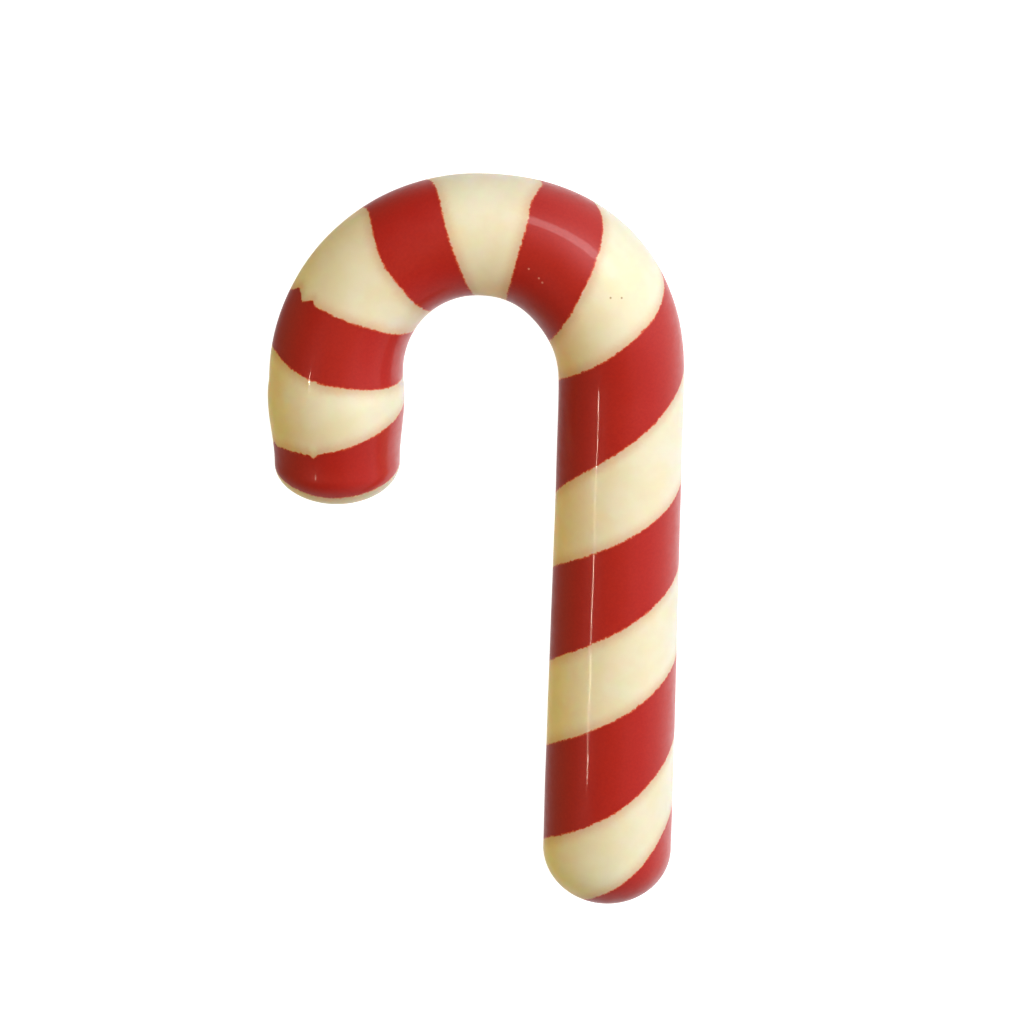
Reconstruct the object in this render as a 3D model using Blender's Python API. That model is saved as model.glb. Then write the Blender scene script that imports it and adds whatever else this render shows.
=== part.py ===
"""A moulded white chocolate candy cane, lying on its side, as one solid.

The rod is round all along. It runs from the domed foot of the straight shaft,
round the crook and down to the blunt tip of the hook. Frame: metres, +Z up, +Y
towards the top of the crook, the shaft on the +X side and the hook on the -X side.
The origin is the middle of the footprint, on the surface that the cane rests on.
"""

import math

import bmesh
import bpy
import numpy as np

MM = 0.001

# Middle line of the rod, seen from above.
HALF_SPAN = 10.80 * MM  # from the middle of the crook to the shaft's middle line
CROOK_RISE = 11.22 * MM  # from the level where the crook begins to its middle line at the top
SHAFT_FULLNESS = 2.22  # 2 is a quarter of an ellipse, and more is a squarer shoulder
HOOK_FULLNESS = 2.00
SHAFT_DROP = 37.70 * MM  # from that level down to the middle of the foot's dome
SHAFT_LEAN = 0.90 * MM  # how far the foot stands in towards the hook
HOOK_DROP = 6.80 * MM  # straight stretch of the hook, above its dome

# Radius of the rod. It is drawn a little thinner over the top of the crook.
FOOT_RADIUS = 4.98 * MM
SHAFT_RADIUS = 4.76 * MM
SHOULDER_RADIUS = 5.00 * MM
CROWN_RADIUS = 4.60 * MM
HOOK_RADIUS = 5.20 * MM
TIP_RADIUS = 4.78 * MM

# Where along the crook those radii are reached, as shares of its sweep.
CROOK_BEGINS = -0.02
SHOULDER_AT = 0.22
CROWN_AT = 0.50
HOOK_AT = 1.20

FOOT_HEIGHT = 4.35 * MM  # the foot is nearly half a ball
TIP_HEIGHT = 3.05 * MM  # the hook ends in a lower dome
FLAT_DEPTH = 0.15 * MM  # how much of the underside is flattened where it rests

# Fineness of the faceted surface.
SIDES = 36
SHAFT_STEPS = 22
CROOK_STEPS = 36
HOOK_STEPS = 6
DOME_STEPS = 7

IVORY = (0.86, 0.77, 0.55, 1.0)
GLOSS_ROUGHNESS = 0.25


def clear_scene():
    """Remove every object of the start-up scene."""
    for old in list(bpy.data.objects):
        bpy.data.objects.remove(old, do_unlink=True)


def rod_radius(sweep):
    """Radius of the rod at a share of the crook's sweep.

    The sweep is 0 where the shaft meets the crook and 1 where the crook meets the hook.
    Down the shaft it runs on below 0, to -1 at the foot, and down the hook above 1, to
    2 at the dome. The radius passes through the named sizes, and between two of them it
    follows half a cosine wave.
    """
    stations = np.array([-1.0, CROOK_BEGINS, SHOULDER_AT, CROWN_AT, HOOK_AT, 2.0])
    sizes = np.array([FOOT_RADIUS, SHAFT_RADIUS, SHOULDER_RADIUS, CROWN_RADIUS, HOOK_RADIUS,
                      TIP_RADIUS])
    span = int(np.clip(np.searchsorted(stations, sweep) - 1, 0, len(stations) - 2))
    share = (sweep - stations[span]) / (stations[span + 1] - stations[span])
    blend = (1 - math.cos(math.pi * share)) / 2
    return float(sizes[span] * (1 - blend) + sizes[span + 1] * blend)


def crook_point(turn):
    """Point and outward direction on the crook's middle line, at an angle from 0 to pi.

    The line is a superellipse, (|x| / half span)^n + (y / rise)^n = 1, with its own
    fullness n on the shaft's side and on the hook's side of the top.
    """
    fullness = SHAFT_FULLNESS if turn < math.pi / 2 else HOOK_FULLNESS
    side = math.copysign(1, math.cos(turn))
    x_share = abs(math.cos(turn)) ** (2 / fullness)
    y_share = abs(math.sin(turn)) ** (2 / fullness)
    point = np.array([side * HALF_SPAN * x_share, CROOK_RISE * y_share])
    normal = np.array([side * x_share ** (fullness - 1) / HALF_SPAN,
                       y_share ** (fullness - 1) / CROOK_RISE])
    return point, normal / np.linalg.norm(normal)


def rod_stations():
    """Places along the rod where a ring of the surface stands, from pole to pole.

    Returns the middle line's points (x, y), the outward directions (nx, ny), the radii
    of the rings, and the radii of the full rod there, which are larger only in the domes.
    """
    points, outward, radii, full_radii = [], [], [], []

    def add(point, direction, radius, full_radius):
        """Note one station."""
        points.append(point)
        outward.append(direction)
        radii.append(radius)
        full_radii.append(full_radius)

    foot = np.array([HALF_SPAN - SHAFT_LEAN, -SHAFT_DROP])
    shoulder = np.array([HALF_SPAN, 0.0])
    up = (shoulder - foot) / np.linalg.norm(shoulder - foot)
    right = np.array([up[1], -up[0]])
    for turn in np.linspace(-math.pi / 2, 0, DOME_STEPS, endpoint=False):
        add(foot + up * FOOT_HEIGHT * math.sin(turn), right, FOOT_RADIUS * math.cos(turn),
            FOOT_RADIUS)
    for share in np.linspace(0, 1, SHAFT_STEPS, endpoint=False):
        radius = rod_radius(share - 1)
        add(foot + (shoulder - foot) * share, right, radius, radius)
    for turn in np.linspace(0, math.pi, CROOK_STEPS + 1):
        point, normal = crook_point(turn)
        radius = rod_radius(turn / math.pi)
        add(point, normal, radius, radius)
    left = np.array([-1.0, 0.0])
    for share in np.linspace(0, 1, HOOK_STEPS + 1)[1:]:
        radius = rod_radius(1 + share)
        add(np.array([-HALF_SPAN, -HOOK_DROP * share]), left, radius, radius)
    for turn in np.linspace(0, math.pi / 2, DOME_STEPS + 1)[1:]:
        add(np.array([-HALF_SPAN, -HOOK_DROP - TIP_HEIGHT * math.sin(turn)]), left,
            TIP_RADIUS * math.cos(turn), TIP_RADIUS)
    return np.array(points), np.array(outward), np.array(radii), np.array(full_radii)


def rod_rings():
    """Rings of points round the middle line, one row of SIDES points for each station.

    A ring stands upright across the middle line. Its centre lies so high that the full
    rod there would dip FLAT_DEPTH below the rest plane, and what dips is flattened onto
    the plane. The result is set over the middle of its footprint.
    """
    points, outward, radii, full_radii = rod_stations()
    turn = np.linspace(0, 2 * math.pi, SIDES, endpoint=False)
    sideways = radii[:, None] * np.cos(turn)
    rings = np.empty((len(points), SIDES, 3))
    rings[:, :, :2] = points[:, None, :] + outward[:, None, :] * sideways[:, :, None]
    centre_heights = (full_radii - FLAT_DEPTH)[:, None]
    rings[:, :, 2] = np.maximum(centre_heights + radii[:, None] * np.sin(turn), 0)
    flat = rings.reshape(-1, 3)
    rings[:, :, :2] -= (flat[:, :2].min(axis=0) + flat[:, :2].max(axis=0)) / 2
    return rings


def solid_from_rings(rings):
    """Mesh that joins each ring to the next and closes both ends in a pole."""
    bm = bmesh.new()
    foot_pole = bm.verts.new(rings[0].mean(axis=0))
    tip_pole = bm.verts.new(rings[-1].mean(axis=0))
    loops = [[bm.verts.new(point) for point in ring] for ring in rings[1:-1]]
    for side in range(SIDES):
        following = (side + 1) % SIDES
        bm.faces.new((foot_pole, loops[0][following], loops[0][side]))
        for before, after in zip(loops[:-1], loops[1:]):
            bm.faces.new((before[side], before[following], after[following], after[side]))
        bm.faces.new((tip_pole, loops[-1][side], loops[-1][following]))
    bmesh.ops.recalc_face_normals(bm, faces=bm.faces)
    mesh = bpy.data.meshes.new("cane")
    bm.to_mesh(mesh)
    bm.free()
    mesh.shade_smooth()
    return mesh


def ivory_chocolate():
    """Glossy white chocolate."""
    material = bpy.data.materials.new("ivory_chocolate")
    material.use_nodes = True
    shader = material.node_tree.nodes["Principled BSDF"]
    shader.inputs["Base Color"].default_value = IVORY
    shader.inputs["Roughness"].default_value = GLOSS_ROUGHNESS
    shader.inputs["Metallic"].default_value = 0.0
    return material


def main():
    """Build the cane."""
    clear_scene()
    cane = bpy.data.objects.new("cane", solid_from_rings(rod_rings()))
    cane.data.materials.append(ivory_chocolate())
    bpy.context.scene.collection.objects.link(cane)


main()
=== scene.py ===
"""The looks of a moulded white chocolate candy cane, dressed over its solid model.

The cane is one piece: a round rod bent into a crook, of ivory chocolate with one red
ribbon that winds round it from the foot to the tip. The rod is a surface of two
parameters, the way along its middle line and the angle round it. The ribbon's two
borders are curves in the same two parameters, so the colour follows the shape.
Frame: metres, +Z up, +Y towards the top of the crook, the shaft on the +X side.
"""

import logging
import math
from dataclasses import dataclass, field
from enum import Enum

import bpy
import numpy as np
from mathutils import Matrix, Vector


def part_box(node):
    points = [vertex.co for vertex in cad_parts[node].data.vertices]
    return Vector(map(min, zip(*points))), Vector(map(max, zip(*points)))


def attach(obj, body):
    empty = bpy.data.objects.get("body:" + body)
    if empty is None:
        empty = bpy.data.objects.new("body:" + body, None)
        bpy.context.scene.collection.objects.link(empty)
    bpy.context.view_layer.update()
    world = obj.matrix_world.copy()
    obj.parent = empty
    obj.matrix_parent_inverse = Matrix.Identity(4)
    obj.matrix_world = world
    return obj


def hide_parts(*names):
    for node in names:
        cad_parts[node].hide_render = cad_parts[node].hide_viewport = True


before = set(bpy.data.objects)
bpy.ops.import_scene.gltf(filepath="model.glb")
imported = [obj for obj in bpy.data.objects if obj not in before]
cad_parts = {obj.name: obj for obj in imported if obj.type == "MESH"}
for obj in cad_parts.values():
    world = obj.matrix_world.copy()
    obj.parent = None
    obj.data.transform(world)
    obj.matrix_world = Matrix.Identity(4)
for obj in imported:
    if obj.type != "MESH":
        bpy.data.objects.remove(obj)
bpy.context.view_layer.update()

MM = 0.001
Socket = bpy.types.NodeSocket
Colour = tuple[float, float, float]

log = logging.getLogger("candy_cane")


class Border(Enum):
    """The two edges of the red ribbon, as met on the way from the foot to the tip."""

    WHERE_RED_STARTS = "start"
    WHERE_RED_ENDS = "end"


@dataclass(frozen=True)
class RodSections:
    """Cross-sections of the rod, one for each place along its middle line."""

    along: np.ndarray
    centre: np.ndarray
    outward: np.ndarray
    ring_radius: np.ndarray
    rod_radius: np.ndarray
    bend: np.ndarray


@dataclass(frozen=True)
class Rod:
    """Middle line and thickness of the rod.

    Places along the middle line are lengths in metres from where the crook begins: below
    0 down the shaft, above 0 round the crook and down the hook.
    """

    half_span: float = 10.80 * MM
    crook_rise: float = 11.22 * MM
    shaft_fullness: float = 2.22
    hook_fullness: float = 2.00
    shaft_drop: float = 37.70 * MM
    shaft_lean: float = 0.90 * MM
    lean_ease: float = 1.50 * MM
    hook_drop: float = 6.80 * MM
    foot_height: float = 4.35 * MM
    tip_height: float = 3.05 * MM
    flat_depth: float = 0.15 * MM
    radius_stations: tuple[float, ...] = (-1.0, -0.02, 0.22, 0.50, 1.20, 2.0)
    radii: tuple[float, ...] = (4.98 * MM, 4.76 * MM, 5.00 * MM, 4.60 * MM, 5.20 * MM, 4.78 * MM)
    crook_samples: int = 6001

    def crook_curve(self) -> tuple[np.ndarray, np.ndarray, np.ndarray]:
        """Work out the crook's middle line, seen from above.

        It is a superellipse, (|x| / half span)^n + (y / rise)^n = 1, with its own fullness
        n on the shaft's side and on the hook's side of the top. Its outward direction is
        the slope of the left side of that formula.

        Returns:
            The lengths along it, its points and its outward directions.
        """
        turn = np.linspace(0.0, math.pi, self.crook_samples)
        fullness = np.where(turn < math.pi / 2, self.shaft_fullness, self.hook_fullness)
        side = np.sign(np.cos(turn))
        x_share = np.abs(np.cos(turn)) ** (2 / fullness)
        y_share = np.abs(np.sin(turn)) ** (2 / fullness)
        points = np.stack([side * self.half_span * x_share, self.crook_rise * y_share], axis=1)
        slope = np.stack([side * x_share ** (fullness - 1) / self.half_span,
                          y_share ** (fullness - 1) / self.crook_rise], axis=1)
        steps = np.linalg.norm(np.diff(points, axis=0), axis=1)
        lengths = np.concatenate([[0.0], np.cumsum(steps)])
        return lengths, points, slope / np.linalg.norm(slope, axis=1, keepdims=True)

    @property
    def crook_length(self) -> float:
        """Length of the middle line round the crook."""
        return float(self.crook_curve()[0][-1])

    @property
    def shaft_length(self) -> float:
        """Length of the middle line down the shaft, as far as the foot's dome."""
        return math.hypot(self.shaft_lean, self.shaft_drop)

    @property
    def hook_end(self) -> float:
        """Place along the middle line where the tip's dome begins."""
        return self.crook_length + self.hook_drop

    def radius(self, along: np.ndarray) -> np.ndarray:
        """Thickness of the rod: between two named sizes it follows half a cosine wave.

        Args:
            along: Places along the middle line.

        Returns:
            The radius of the full rod at each place.
        """
        sweep = np.where(along < 0, along / self.shaft_length, along / self.crook_length)
        past_crook = 1 + (along - self.crook_length) / self.hook_drop
        sweep = np.clip(np.where(along > self.crook_length, past_crook, sweep), -1.0, 2.0)
        stations, sizes = np.array(self.radius_stations), np.array(self.radii)
        span = np.clip(np.searchsorted(stations, sweep) - 1, 0, len(stations) - 2)
        share = (sweep - stations[span]) / (stations[span + 1] - stations[span])
        blend = (1 - np.cos(np.pi * share)) / 2
        return sizes[span] * (1 - blend) + sizes[span + 1] * blend

    def sections(self, along: np.ndarray) -> RodSections:
        """Cut the rod across its middle line.

        Down the shaft the line leans in towards the hook, and the lean eases in as a
        hyperbola. In the two domes the ring's radius follows a quarter of an ellipse.

        Args:
            along: Places along the middle line, in rising order.

        Returns:
            One cross-section for each place.
        """
        lengths, points, normals = self.crook_curve()
        shaft, hook = along < 0, along > self.crook_length
        lean = self.shaft_lean / self.shaft_length
        eased = np.hypot(along, self.lean_ease)
        x = np.interp(along, lengths, points[:, 0])
        y = np.interp(along, lengths, points[:, 1])
        x = np.where(shaft, self.half_span - lean * (eased - self.lean_ease), x)
        y = np.where(shaft, along * self.shaft_drop / self.shaft_length, y)
        x = np.where(hook, -self.half_span, x)
        y = np.where(hook, self.crook_length - along, y)
        heading = np.unwrap(np.arctan2(normals[:, 1], normals[:, 0]))
        facing = np.interp(along, lengths, heading)
        facing = np.where(shaft, lean * along / eased, facing)
        facing = np.where(hook, math.pi, facing)
        rod_radius = self.radius(along)
        into_foot = np.clip((-self.shaft_length - along) / self.foot_height, 0, 1)
        into_tip = np.clip((along - self.hook_end) / self.tip_height, 0, 1)
        dome = np.sqrt(1 - into_foot ** 2) * np.sqrt(1 - into_tip ** 2)
        return RodSections(
            along=along,
            centre=np.stack([x, y], axis=1),
            outward=np.stack([np.cos(facing), np.sin(facing)], axis=1),
            ring_radius=rod_radius * dome,
            rod_radius=rod_radius,
            bend=np.gradient(facing, along),
        )


@dataclass(frozen=True)
class Nick:
    """A chip in a border of the ribbon, shaped like a bell over the angle round the rod."""

    border: Border
    turn: int
    angle: float
    reach: float
    width: float


@dataclass(frozen=True)
class Ribbon:
    """The red ribbon that winds round the rod.

    Each border has named places along the middle line, in millimetres, where it crosses
    the rod's inner side, its top and its outer side, once in every turn. Underneath, a
    border passes half way between its crossings of the outer and the next inner side.
    """

    red_ends_inner: tuple[float, ...] = (-42.5, -29.5, -15.1, -0.1, 14.0, 23.7, 34.5, 41.7)
    red_ends_top: tuple[float, ...] = (-40.0, -25.7, -11.5, 3.5, 14.4, 24.3, 34.2, 43.4)
    red_ends_outer: tuple[float, ...] = (-33.5, -21.2, -7.4, 6.3, 13.9, 24.0, 33.2, 41.8)
    red_starts_inner: tuple[float, ...] = (-50.0, -37.4, -22.7, -9.2, 5.0, 17.3, 27.3, 36.6)
    red_starts_top: tuple[float, ...] = (-47.5, -33.5, -18.7, -4.3, 8.8, 19.2, 29.0, 39.4)
    red_starts_outer: tuple[float, ...] = (-45.0, -27.9, -14.2, 1.1, 11.1, 20.2, 30.0, 40.4)
    start_underneath_tip: float = 46.0
    end_underneath_tip: float = 40.0
    nicks: tuple[Nick, ...] = (
        Nick(Border.WHERE_RED_ENDS, 4, 58.0, 0.66, 28.0),
        Nick(Border.WHERE_RED_STARTS, 6, 64.0, -0.30, 7.0),
        Nick(Border.WHERE_RED_STARTS, 6, 50.0, 0.22, 3.5),
        Nick(Border.WHERE_RED_STARTS, 6, 40.0, -0.20, 3.0),
        Nick(Border.WHERE_RED_STARTS, 7, 70.0, -0.25, 5.0),
        Nick(Border.WHERE_RED_STARTS, 7, 16.0, 0.38, 3.5),
        Nick(Border.WHERE_RED_STARTS, 7, 25.0, 0.12, 3.0),
    )

    @property
    def turns(self) -> int:
        """How many times the ribbon winds round the rod."""
        return len(self.red_ends_top)

    def knots(self, border: Border) -> np.ndarray:
        """List a border's places, four to a turn.

        Args:
            border: Which edge of the ribbon.

        Returns:
            Places in millimetres at every quarter turn, from the first inner side on.
        """
        if border is Border.WHERE_RED_ENDS:
            rows = (self.red_ends_inner, self.red_ends_top, self.red_ends_outer)
            last = self.end_underneath_tip
        else:
            rows = (self.red_starts_inner, self.red_starts_top, self.red_starts_outer)
            last = self.start_underneath_tip
        inner, top, outer = np.array(rows)
        underneath = np.append((outer[:-1] + inner[1:]) / 2, last)
        return np.stack([inner, top, outer, underneath], axis=1).ravel()

    def border_place(self, border: Border, turn: int,
                     angle: np.ndarray) -> tuple[np.ndarray, np.ndarray]:
        """Follow a border round the rod.

        Between two knots it is a cubic whose slope at a knot is half the step from the
        knot before to the knot after. The nicks are added to it.

        Args:
            border: Which edge of the ribbon.
            turn: Which turn, counted from the foot.
            angle: Angles round the rod in degrees: -90 inner, 0 top, 90 outer.

        Returns:
            The border's place in millimetres and its slope in millimetres per radian.
        """
        knots = self.knots(border)
        first, last = 2 * knots[0] - knots[1], 2 * knots[-1] - knots[-2]
        knots = np.concatenate([[2 * first - knots[0], first], knots, [last]])
        position = np.clip((angle + 90 + 360 * turn) / 90 + 2, 1.0, len(knots) - 2.0001)
        span = np.floor(position).astype(int)
        share = position - span
        before, here, after, beyond = (knots[span + step] for step in (-1, 0, 1, 2))
        slope_here, slope_after = (after - before) / 2, (beyond - here) / 2
        rise = after - here
        square = 3 * rise - 2 * slope_here - slope_after
        cube = slope_here + slope_after - 2 * rise
        place = here + slope_here * share + square * share ** 2 + cube * share ** 3
        slope = slope_here + 2 * square * share + 3 * cube * share ** 2
        for nick in self.nicks:
            if nick.border is border and nick.turn == turn:
                place = place + nick.reach * np.exp(-((angle - nick.angle) / nick.width) ** 2)
        return place, slope / (math.pi / 2)

    def depth(self, sections: RodSections, angle: np.ndarray) -> np.ndarray:
        """Measure how deep in the red each place of the surface lies.

        The way along the rod to a border is stretched by the rod's bend, and it is
        shortened by the slant of the border, which gives the way straight across to it.

        Args:
            sections: Cross-sections of the rod.
            angle: Angles round the rod in degrees.

        Returns:
            The distance in millimetres to the nearest border, positive in the red.
        """
        along = sections.along[:, None] / MM
        radius = sections.rod_radius[:, None] / MM
        towards_outer = np.sin(np.radians(angle))[None, :]
        stretch = 1 + sections.bend[:, None] * MM * radius * towards_outer
        deepest = np.full(np.broadcast_shapes(along.shape, towards_outer.shape), -99.0)
        for turn in range(self.turns):
            start, start_slope = self.border_place(Border.WHERE_RED_STARTS, turn, angle)
            end, end_slope = self.border_place(Border.WHERE_RED_ENDS, turn, angle)
            past_start = (along - start) * stretch / np.hypot(1, stretch * start_slope / radius)
            before_end = (end - along) * stretch / np.hypot(1, stretch * end_slope / radius)
            deepest = np.maximum(deepest, np.minimum(past_start, before_end))
        return deepest


@dataclass(frozen=True)
class Unevenness:
    """The gentle hollows of a chocolate surface, only ever inward from the rod.

    Each wave is a cosine of the place along a slanting direction.
    """

    depth: float = 0.022 * MM
    wavelengths: tuple[float, ...] = (6.1 * MM, 9.7 * MM, 3.9 * MM)
    headings: tuple[tuple[float, float, float], ...] = (
        (0.80, 0.60, 0.20), (-0.50, 0.80, 0.60), (0.30, -0.60, 0.90))

    def hollow(self, places: np.ndarray) -> np.ndarray:
        """Work out how far each place is pressed in.

        Args:
            places: Points of the surface, with x, y and z last.

        Returns:
            The depth of the hollow at each point, from 0 to the named depth.
        """
        share = np.zeros(places.shape[:-1])
        for wavelength, heading in zip(self.wavelengths, self.headings):
            share += np.cos(2 * math.pi * (places @ np.array(heading)) / wavelength)
        return self.depth * (0.5 + 0.5 * share / len(self.wavelengths))


class NodeDesk:
    """Makes and joins the shader nodes of one material, or of the room."""

    def __init__(self, owner: bpy.types.Material | bpy.types.World, shader: str) -> None:
        """Start from the owner's own shader and output."""
        owner.use_nodes = True
        self.tree = owner.node_tree
        self.shader = self.tree.nodes[shader]

    def feed(self, socket: Socket, value: object) -> None:
        """Set a socket to a value, or link it to another socket.

        Args:
            socket: The socket that is fed.
            value: A number, a colour or an output socket.
        """
        if isinstance(value, bpy.types.NodeSocket):
            self.tree.links.new(value, socket)
        elif isinstance(value, tuple) and socket.type == "RGBA":
            socket.default_value = (*value, 1.0)
        else:
            socket.default_value = value

    def calc(self, operation: str, *values: object) -> Socket:
        """Add a calculation on numbers.

        Args:
            operation: The name of the calculation.
            values: Numbers or sockets, in order.

        Returns:
            The result's socket.
        """
        node = self.tree.nodes.new("ShaderNodeMath")
        node.operation = operation
        for socket, value in zip(node.inputs, values):
            self.feed(socket, value)
        return node.outputs["Value"]

    def ramp(self, value: Socket, low: float, high: float,
             to_low: float = 0.0, to_high: float = 1.0) -> Socket:
        """Turn a range of one number smoothly into a range of another, held at its ends.

        Args:
            value: The number read.
            low: Where the range read starts.
            high: Where it ends.
            to_low: What the result is at its start.
            to_high: What the result is at its end.

        Returns:
            The result's socket.
        """
        node = self.tree.nodes.new("ShaderNodeMapRange")
        node.interpolation_type = "SMOOTHSTEP"
        for name, number in (("From Min", low), ("From Max", high),
                             ("To Min", to_low), ("To Max", to_high)):
            node.inputs[name].default_value = number
        self.feed(node.inputs["Value"], value)
        return node.outputs["Result"]

    def blend(self, share: object, under: object, over: object,
              mode: str = "MIX") -> Socket:
        """Lay one colour over another.

        Args:
            share: How much of the upper colour shows.
            under: The lower colour.
            over: The upper colour.
            mode: How the two are combined.

        Returns:
            The result's socket.
        """
        node = self.tree.nodes.new("ShaderNodeMix")
        node.data_type = "RGBA"
        node.blend_type = mode
        self.feed(node.inputs[0], share)
        self.feed(node.inputs[6], under)
        self.feed(node.inputs[7], over)
        return node.outputs[2]

    def grain(self, size: float, detail: float = 2.0, roughness: float = 0.5) -> Socket:
        """Add a soft irregular pattern fixed to the piece.

        Args:
            size: How large its lumps are, in metres.
            detail: How many finer layers it has.
            roughness: How strong the finer layers are.

        Returns:
            A number around 0.5 at each place.
        """
        node = self.tree.nodes.new("ShaderNodeTexNoise")
        node.inputs["Scale"].default_value = 1 / size
        node.inputs["Detail"].default_value = detail
        node.inputs["Roughness"].default_value = roughness
        self.tree.links.new(self.places(), node.inputs["Vector"])
        return node.outputs["Fac"]

    def places(self) -> Socket:
        """Give the piece's own coordinates."""
        node = self.tree.nodes.get("places")
        if node is None:
            node = self.tree.nodes.new("ShaderNodeTexCoord")
            node.name = "places"
        return node.outputs["Object"]

    def from_mesh(self, name: str) -> Socket:
        """Read a number that the mesh carries at its points."""
        node = self.tree.nodes.new("ShaderNodeAttribute")
        node.attribute_name = name
        return node.outputs["Fac"]

    def near(self, place: tuple[float, float, float]) -> Socket:
        """Measure the way to a fixed place on the piece, in metres."""
        node = self.tree.nodes.new("ShaderNodeVectorMath")
        node.operation = "DISTANCE"
        self.tree.links.new(self.places(), node.inputs[0])
        node.inputs[1].default_value = place
        return node.outputs["Value"]

    def towards(self, side: Colour) -> Socket:
        """Measure how nearly a direction in the room points to one side."""
        node = self.tree.nodes.new("ShaderNodeVectorMath")
        node.operation = "DOT_PRODUCT"
        self.tree.links.new(self.tree.nodes.new("ShaderNodeTexCoord").outputs["Generated"],
                            node.inputs[0])
        node.inputs[1].default_value = side
        return node.outputs["Value"]


@dataclass(frozen=True)
class StripedChocolate:
    """Finish of the cane: glossy ivory chocolate with the ribbon's red printed into it.

    Distances from a border of the ribbon are in millimetres.
    """

    ivory: Colour = (0.90, 0.82, 0.61)
    ivory_deep: Colour = (0.88, 0.79, 0.55)
    # painted shade with a slight red tint, laid on the ivory beside the red borders
    ivory_shaded_by_red: Colour = (0.70, 0.44, 0.25)
    red: Colour = (0.51, 0.018, 0.010)
    red_deep: Colour = (0.46, 0.014, 0.009)
    fringe: Colour = (0.72, 0.10, 0.035)
    rag_size: float = 0.22 * MM
    rag_reach: float = 0.34
    drift_size: float = 1.10 * MM
    drift_reach: float = 0.14
    border_blur: float = 0.06
    fringe_width: float = 0.16
    red_shade_width: float = 1.30
    red_shade_share: float = 0.60
    mottle_size: float = 2.40 * MM
    speck_size: float = 0.22 * MM
    base_roughness: float = 0.45
    gloss_level: float = 0.28
    coat_weight: float = 0.24
    coat_roughness: float = 0.05
    ivory_translucence: float = 1.0
    red_translucence: float = 0.1
    scatter_radius: tuple[float, float, float] = (1.40, 0.70, 0.30)
    scatter_scale: float = 5.0 * MM
    pit_radius: float = 0.11 * MM
    # painted shade in the pits of the ivory, as shade in small hollows
    pit_shade_in_ivory: Colour = (0.52, 0.36, 0.16)
    pit_in_red: Colour = (0.72, 0.22, 0.16)
    bump_depth: float = 0.02 * MM

    def make(self, pits: list[tuple[float, float, float]]) -> bpy.types.Material:
        """Build the material.

        Args:
            pits: Places of the tiny air pits in the surface.

        Returns:
            The finished material.
        """
        material = bpy.data.materials.new("ivory_and_red")
        desk = NodeDesk(material, "Principled BSDF")
        red_depth = desk.from_mesh("red_depth")
        ragged = self.ragged(desk, red_depth)
        is_red = desk.ramp(ragged, -self.border_blur, self.border_blur)
        pit = self.pit(desk, pits)
        colour = desk.blend(is_red, self.ivory_colour(desk, ragged), self.red_colour(desk, ragged))
        # painted shade: in the ivory the pits are painted darker, as shade in the hollows; in the red
        # they are painted lighter pink
        colour = desk.blend(pit, colour, desk.blend(is_red, self.pit_shade_in_ivory, self.pit_in_red))
        desk.feed(desk.shader.inputs["Base Color"], colour)
        mottle = desk.grain(0.8 * MM, 3.0, 0.6)
        desk.feed(desk.shader.inputs["Roughness"],
                  desk.ramp(mottle, 0.3, 0.7, self.base_roughness - 0.05, self.base_roughness + 0.05))
        desk.feed(desk.shader.inputs["Subsurface Weight"],
                  desk.ramp(ragged, -self.border_blur, self.border_blur,
                            self.ivory_translucence, self.red_translucence))
        self.set_gloss(desk)
        self.add_relief(desk, pit)
        return material

    def ragged(self, desk: NodeDesk, red_depth: Socket) -> Socket:
        """Fray the ribbon's borders.

        Args:
            desk: Where the nodes are made.
            red_depth: Distance from the nearest border.

        Returns:
            That distance, moved to and fro by a fine and by a coarse pattern.
        """
        fine = desk.calc("MULTIPLY_ADD", desk.grain(self.rag_size, 3.0, 0.6),
                         self.rag_reach, -self.rag_reach / 2)
        drift = desk.calc("MULTIPLY_ADD", desk.grain(self.drift_size, 1.0),
                          self.drift_reach, -self.drift_reach / 2)
        return desk.calc("ADD", desk.calc("ADD", red_depth, fine), drift)

    def ivory_colour(self, desk: NodeDesk, depth: Socket) -> Socket:
        """Colour the ivory, warmer in clouds, with painted shade and a slight red tint beside the
        red.
        """
        clouds = desk.ramp(desk.grain(self.mottle_size, 2.0), 0.35, 0.65)
        colour = desk.blend(clouds, self.ivory, self.ivory_deep)
        # painted shade: the ivory darkens and warms towards each red border, for light lost into the
        # red
        nearness = desk.ramp(depth, -self.red_shade_width, 0.0)
        shade_by_red = desk.calc("MULTIPLY", desk.calc("POWER", nearness, 2.0), self.red_shade_share)
        return desk.blend(shade_by_red, colour, self.ivory_shaded_by_red)

    def red_colour(self, desk: NodeDesk, depth: Socket) -> Socket:
        """Colour the red, in clouds, with a thin orange fringe along its borders."""
        clouds = desk.ramp(desk.grain(self.speck_size, 3.0, 0.7), 0.3, 0.7)
        colour = desk.blend(clouds, self.red, self.red_deep)
        thin = desk.ramp(depth, 0.0, self.fringe_width, 1.0, 0.0)
        return desk.blend(thin, colour, self.fringe)

    def pit(self, desk: NodeDesk, pits: list[tuple[float, float, float]]) -> Socket:
        """Mark the air pits: 1 in the middle of each, 0 outside them all."""
        nearest = desk.near(pits[0])
        for place in pits[1:]:
            nearest = desk.calc("MINIMUM", nearest, desk.near(place))
        return desk.ramp(nearest, 0.4 * self.pit_radius, self.pit_radius, 1.0, 0.0)

    def set_gloss(self, desk: NodeDesk) -> None:
        """Give the surface its thin clear gloss and the chocolate its translucence."""
        for name, value in (
                ("IOR", 1.46),
                ("Specular IOR Level", self.gloss_level),
                ("Coat Weight", self.coat_weight),
                ("Coat Roughness", self.coat_roughness),
                ("Subsurface Radius", self.scatter_radius),
                ("Subsurface Scale", self.scatter_scale)):
            desk.shader.inputs[name].default_value = value

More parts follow.
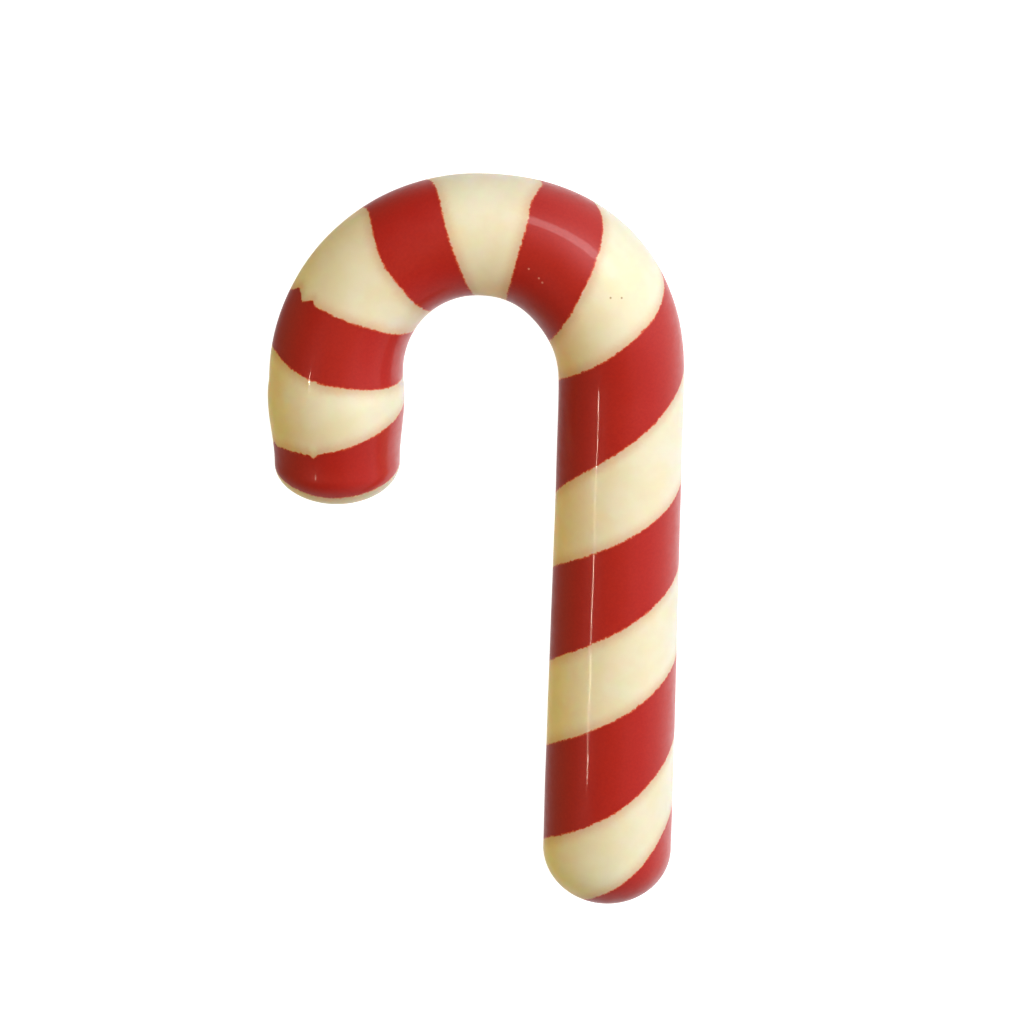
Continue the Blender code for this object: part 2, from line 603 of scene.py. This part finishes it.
    def add_relief(self, desk: NodeDesk, pit: Socket) -> None:
        """Raise a faint grain on the surface and sink the pits."""
        grain = desk.calc("MULTIPLY_ADD", desk.grain(0.5 * MM, 3.0, 0.55), 0.12, 0.0)
        height = desk.calc("SUBTRACT", grain, pit)
        bump = desk.tree.nodes.new("ShaderNodeBump")
        bump.inputs["Strength"].default_value = 0.6
        bump.inputs["Distance"].default_value = self.bump_depth
        desk.feed(bump.inputs["Height"], height)
        desk.feed(desk.shader.inputs["Normal"], bump.outputs["Normal"])


@dataclass
class CandyCane:
    """The whole sweet: its surface, its ribbon and its finish."""

    rod: Rod = field(default_factory=Rod)
    ribbon: Ribbon = field(default_factory=Ribbon)
    unevenness: Unevenness = field(default_factory=Unevenness)
    finish: StripedChocolate = field(default_factory=StripedChocolate)
    step: float = 0.21 * MM
    dome_steps: int = 30
    sides: int = 180
    pits: tuple[tuple[float, float], ...] = (
        (13.3, -8.0), (12.2, -12.0), (11.8, -14.0), (7.3, 18.0), (7.0, 26.0))

    def stations(self) -> np.ndarray:
        """Space the rings: evenly along the rod, and at even angles over the domes.

        Returns:
            Places along the middle line, from pole to pole.
        """
        turn = np.linspace(-math.pi / 2, 0, self.dome_steps, endpoint=False)
        foot = -self.rod.shaft_length + self.rod.foot_height * np.sin(turn)
        length = self.rod.hook_end + self.rod.shaft_length
        body = np.linspace(-self.rod.shaft_length, self.rod.hook_end, round(length / self.step))
        tip = self.rod.hook_end - self.rod.tip_height * np.sin(turn[::-1])
        return np.concatenate([foot, body, tip])

    def surface(self, sections: RodSections, angle: np.ndarray) -> np.ndarray:
        """Carry the ring round the middle line, and set it over the middle of the solid.

        A point stands outward from the line by radius times the sine of its angle, and
        up by radius times the cosine. The line lies one rod's radius high, less the
        depth of the flat underneath, and what would dip below the rest plane lies on it.

        Args:
            sections: Cross-sections of the rod.
            angle: Angles round the rod in degrees: -90 inner, 0 top, 90 outer.

        Returns:
            Points in a grid, one row for each section.
        """
        turn = np.radians(angle)
        smooth = self.ring_points(sections, turn, sections.ring_radius[:, None])
        radius = np.maximum(sections.ring_radius[:, None] - self.unevenness.hollow(smooth), 0.0)
        points = self.ring_points(sections, turn, radius)
        points[..., 2] = np.maximum(points[..., 2], 0.0)
        low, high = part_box("cane")
        flat = smooth[..., :2].reshape(-1, 2)
        middle = (flat.min(axis=0) + flat.max(axis=0)) / 2
        points[..., :2] += np.array([low.x + high.x, low.y + high.y]) / 2 - middle
        return points

    def ring_points(self, sections: RodSections, turn: np.ndarray,
                    radius: np.ndarray) -> np.ndarray:
        """Set points round the middle line at the given radius.

        Args:
            sections: Cross-sections of the rod.
            turn: Angles round the rod in radians, 0 on top.
            radius: Radius of each ring, or of each point.

        Returns:
            Points in a grid, one row for each section.
        """
        sideways = radius * np.sin(turn)
        points = np.empty((len(sections.along), len(turn), 3))
        points[..., :2] = sections.centre[:, None] + sections.outward[:, None] * sideways[..., None]
        points[..., 2] = (sections.rod_radius - self.rod.flat_depth)[:, None] + radius * np.cos(turn)
        return points

    def mesh(self, sections: RodSections, angle: np.ndarray,
             grid: np.ndarray) -> bpy.types.Mesh:
        """Make the closed surface, with the ribbon's depth at its points.

        Args:
            sections: Cross-sections of the rod.
            angle: Angles round the rod in degrees.
            grid: Points of the surface, one row for each section.

        Returns:
            A mesh of one ring of points for each section and one point at each pole.
        """
        points = np.concatenate([grid[1:-1].reshape(-1, 3), grid[[0, -1], 0]])
        mesh = bpy.data.meshes.new("candy_cane")
        mesh.from_pydata(points.tolist(), [], self.faces(len(grid) - 2))
        depth = self.ribbon.depth(sections, angle)
        flat = np.concatenate([depth[1:-1].ravel(), depth[[0, -1], 0]])
        layer = mesh.attributes.new("red_depth", "FLOAT", "POINT")
        layer.data.foreach_set("value", flat.astype(np.float32))
        mesh.shade_smooth()
        return mesh

    def faces(self, rings: int) -> list[list[int]]:
        """Join each ring to the next, and the first and last ring to their poles.

        Args:
            rings: How many rings of points there are.

        Returns:
            The corners of each face, counted so that it faces out.
        """
        start = np.arange(rings)[:, None] * self.sides
        side = np.arange(self.sides)
        following = (side + 1) % self.sides
        low, high = start[:-1], start[1:]
        quads = np.stack(np.broadcast_arrays(low + side, low + following,
                                             high + following, high + side), axis=-1)
        foot_pole, tip_pole = rings * self.sides, rings * self.sides + 1
        last = (rings - 1) * self.sides
        foot = np.stack([np.full(self.sides, foot_pole), following, side], axis=1)
        tip = np.stack([np.full(self.sides, tip_pole), last + side, last + following], axis=1)
        return quads.reshape(-1, 4).tolist() + foot.tolist() + tip.tolist()

    def pit_places(self, sections: RodSections, angle: np.ndarray,
                   grid: np.ndarray) -> list[tuple[float, float, float]]:
        """Find the points of the surface that are nearest to the air pits.

        Args:
            sections: Cross-sections of the rod.
            angle: Angles round the rod in degrees.
            grid: Points of the surface, one row for each section.

        Returns:
            The place of each pit.
        """
        rows = [np.abs(sections.along - along * MM).argmin() for along, _ in self.pits]
        columns = [np.abs(angle - around).argmin() for _, around in self.pits]
        return [tuple(place) for place in grid[rows, columns].tolist()]

    def build(self) -> bpy.types.Object:
        """Make the piece, dress it, and put it in the solid's place.

        Returns:
            The finished piece.
        """
        sections = self.rod.sections(self.stations())
        angle = np.linspace(-180, 180, self.sides, endpoint=False)
        grid = self.surface(sections, angle)
        piece = bpy.data.objects.new("candy_cane", self.mesh(sections, angle, grid))
        bpy.context.scene.collection.objects.link(piece)
        piece.data.materials.append(self.finish.make(self.pit_places(sections, angle, grid)))
        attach(piece, "root")
        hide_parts("cane")
        return piece


@dataclass(frozen=True)
class Lamp:
    """A soft rectangular lamp that faces the middle of the cane."""

    name: str
    azimuth: float
    elevation: float
    distance: float
    width: float
    height: float
    power: float
    colour: Colour = (1.0, 1.0, 1.0)
    in_gloss: bool = True
    on_body: bool = True


@dataclass(frozen=True)
class Side:
    """A side of the room, with its glow on the cane's body and in the cane's gloss."""

    towards: Colour
    light: Colour
    shine: Colour


@dataclass(frozen=True)
class Studio:
    """Pale floor, soft lamps, a pale room and the camera.

    A lamp lights the cane's body, or shines in its gloss, or both.
    """

    aim: Colour = (2.768 * MM, 2.661 * MM, 5.0 * MM)
    camera_distance: float = 400 * MM
    camera_lens: float = 184.6
    camera_tilt: float = 18.0
    camera_turn: float = 3.4
    floor_size: float = 1.6
    floor_colour: Colour = (0.40, 0.40, 0.40)
    floor_glow: float = 2.60
    sides: tuple[Side, ...] = (
        Side((0.70, 0.25, -0.67), (0.45, 0.45, 0.45), (1.12, 1.12, 1.12)),
        Side((-0.75, -0.20, -0.63), (0.88, 0.74, 0.26), (0.16, 0.16, 0.16)),
        Side((0.30, -0.78, -0.55), (0.20, 0.20, 0.20), (0.75, 0.75, 0.75)),
    )
    lamps: tuple[Lamp, ...] = (
        Lamp("key", 38.0, 48.0, 0.60, 0.50, 0.30, 2.75, (0.95, 1.00, 1.18), in_gloss=False),
        Lamp("key_shine", 38.0, 48.0, 0.60, 0.50, 0.30, 1.65, on_body=False),
        Lamp("window", 35.0, 20.0, 0.60, 1.40, 0.30, 1.65, (0.95, 1.00, 1.18), in_gloss=False),
        Lamp("window_shine", 35.0, 20.0, 0.60, 1.40, 0.30, 3.42, on_body=False),
        Lamp("window_top", 60.0, 35.0, 0.60, 0.50, 0.15, 1.80, on_body=False),
        Lamp("wall_right", -25.0, 35.0, 0.60, 0.90, 0.60, 0.45, on_body=False),
        Lamp("corner", 135.0, 40.0, 0.60, 0.60, 0.40, 0.18, (1.15, 1.00, 0.32), in_gloss=False),
        Lamp("overhead", 0.0, 85.0, 0.60, 0.60, 0.60, 0.87, (1.15, 1.00, 0.32), in_gloss=False),
        Lamp("strip", 199.5, 48.5, 0.45, 0.145, 0.006, 0.26, (1.0, 0.90, 0.75), on_body=False),
    )

    def light(self) -> None:
        """Hang the lamps and light the room, which itself looks white."""
        for lamp in self.lamps:
            self.hang(lamp)
        world = bpy.data.worlds.new("room")
        bpy.context.scene.world = world
        desk = NodeDesk(world, "Background")
        ray = desk.tree.nodes.new("ShaderNodeLightPath")
        glow = (0.0, 0.0, 0.0)
        for side in self.sides:
            colour = desk.blend(ray.outputs["Is Glossy Ray"], side.light, side.shine)
            share = desk.ramp(desk.towards(side.towards), 0.1, 0.9)
            glow = desk.blend(share, glow, desk.blend(1.0, glow, colour, "ADD"))
        desk.feed(desk.shader.inputs["Color"],
                  desk.blend(ray.outputs["Is Camera Ray"], glow, (1.0, 1.0, 1.0)))

    def hang(self, lamp: Lamp) -> None:
        """Hang one lamp, facing the middle of the cane."""
        data = bpy.data.lights.new(lamp.name, "AREA")
        data.shape = "RECTANGLE"
        data.size, data.size_y = lamp.width, lamp.height
        data.energy = lamp.power
        data.color = lamp.colour
        rig = bpy.data.objects.new(lamp.name, data)
        bpy.context.scene.collection.objects.link(rig)
        azimuth, elevation = math.radians(lamp.azimuth), math.radians(lamp.elevation)
        away = np.array([math.cos(azimuth) * math.cos(elevation),
                         math.sin(azimuth) * math.cos(elevation), math.sin(elevation)])
        rig.location = (np.array(self.aim) + away * lamp.distance).tolist()
        rig.rotation_euler = (math.pi / 2 - elevation, 0.0, azimuth + math.pi / 2)
        rig.visible_camera = False
        rig.visible_glossy = lamp.in_gloss
        rig.visible_diffuse = lamp.on_body

    def lay_floor(self) -> bpy.types.Object:
        """Lay the floor that the cane rests on.

        Returns:
            The floor.
        """
        mesh = bpy.data.meshes.new("floor")
        half = self.floor_size / 2
        mesh.from_pydata([(-half, -half, 0), (half, -half, 0), (half, half, 0), (-half, half, 0)],
                         [], [(0, 1, 2, 3)])
        floor = bpy.data.objects.new("floor", mesh)
        bpy.context.scene.collection.objects.link(floor)
        material = bpy.data.materials.new("pale_floor")
        desk = NodeDesk(material, "Principled BSDF")
        desk.feed(desk.shader.inputs["Base Color"], self.floor_colour)
        desk.feed(desk.shader.inputs["Roughness"], 0.9)
        desk.feed(desk.shader.inputs["Emission Color"], self.floor_colour)
        desk.feed(desk.shader.inputs["Emission Strength"], self.floor_glow)
        mesh.materials.append(material)
        floor.visible_diffuse = False
        floor.visible_glossy = False
        floor.visible_shadow = False
        return floor

    def place_camera(self) -> bpy.types.Object:
        """Put the camera above the cane, tilted back towards its crook.

        Returns:
            The camera.
        """
        data = bpy.data.cameras.new("camera")
        data.lens = self.camera_lens
        data.sensor_width = 36.0
        data.clip_start = 0.01
        data.clip_end = 10.0
        camera = bpy.data.objects.new("camera", data)
        bpy.context.scene.collection.objects.link(camera)
        tilt, turn = math.radians(self.camera_tilt), math.radians(self.camera_turn)
        back = np.array([math.sin(turn) * math.cos(tilt), math.sin(tilt),
                         math.cos(turn) * math.cos(tilt)])
        up = np.array([0.0, 1.0, 0.0]) - back * back[1]
        up /= np.linalg.norm(up)
        right = np.cross(up, back)
        matrix = np.eye(4)
        matrix[:3, :3] = np.stack([right, up, back], axis=1)
        matrix[:3, 3] = np.array(self.aim) + back * self.camera_distance
        camera.matrix_world = matrix.T.tolist()
        bpy.context.scene.camera = camera
        return camera


def main() -> None:
    """Build the cane and its studio."""
    logging.basicConfig(level=logging.INFO, format="%(name)s: %(message)s")
    piece = CandyCane().build()
    log.info("%s: %d points, %d faces", piece.name, len(piece.data.vertices),
             len(piece.data.polygons))
    studio = Studio()
    studio.lay_floor()
    studio.light()
    studio.place_camera()
    bpy.context.scene.view_settings.view_transform = "Standard"


if __name__ == "__main__":
    main()
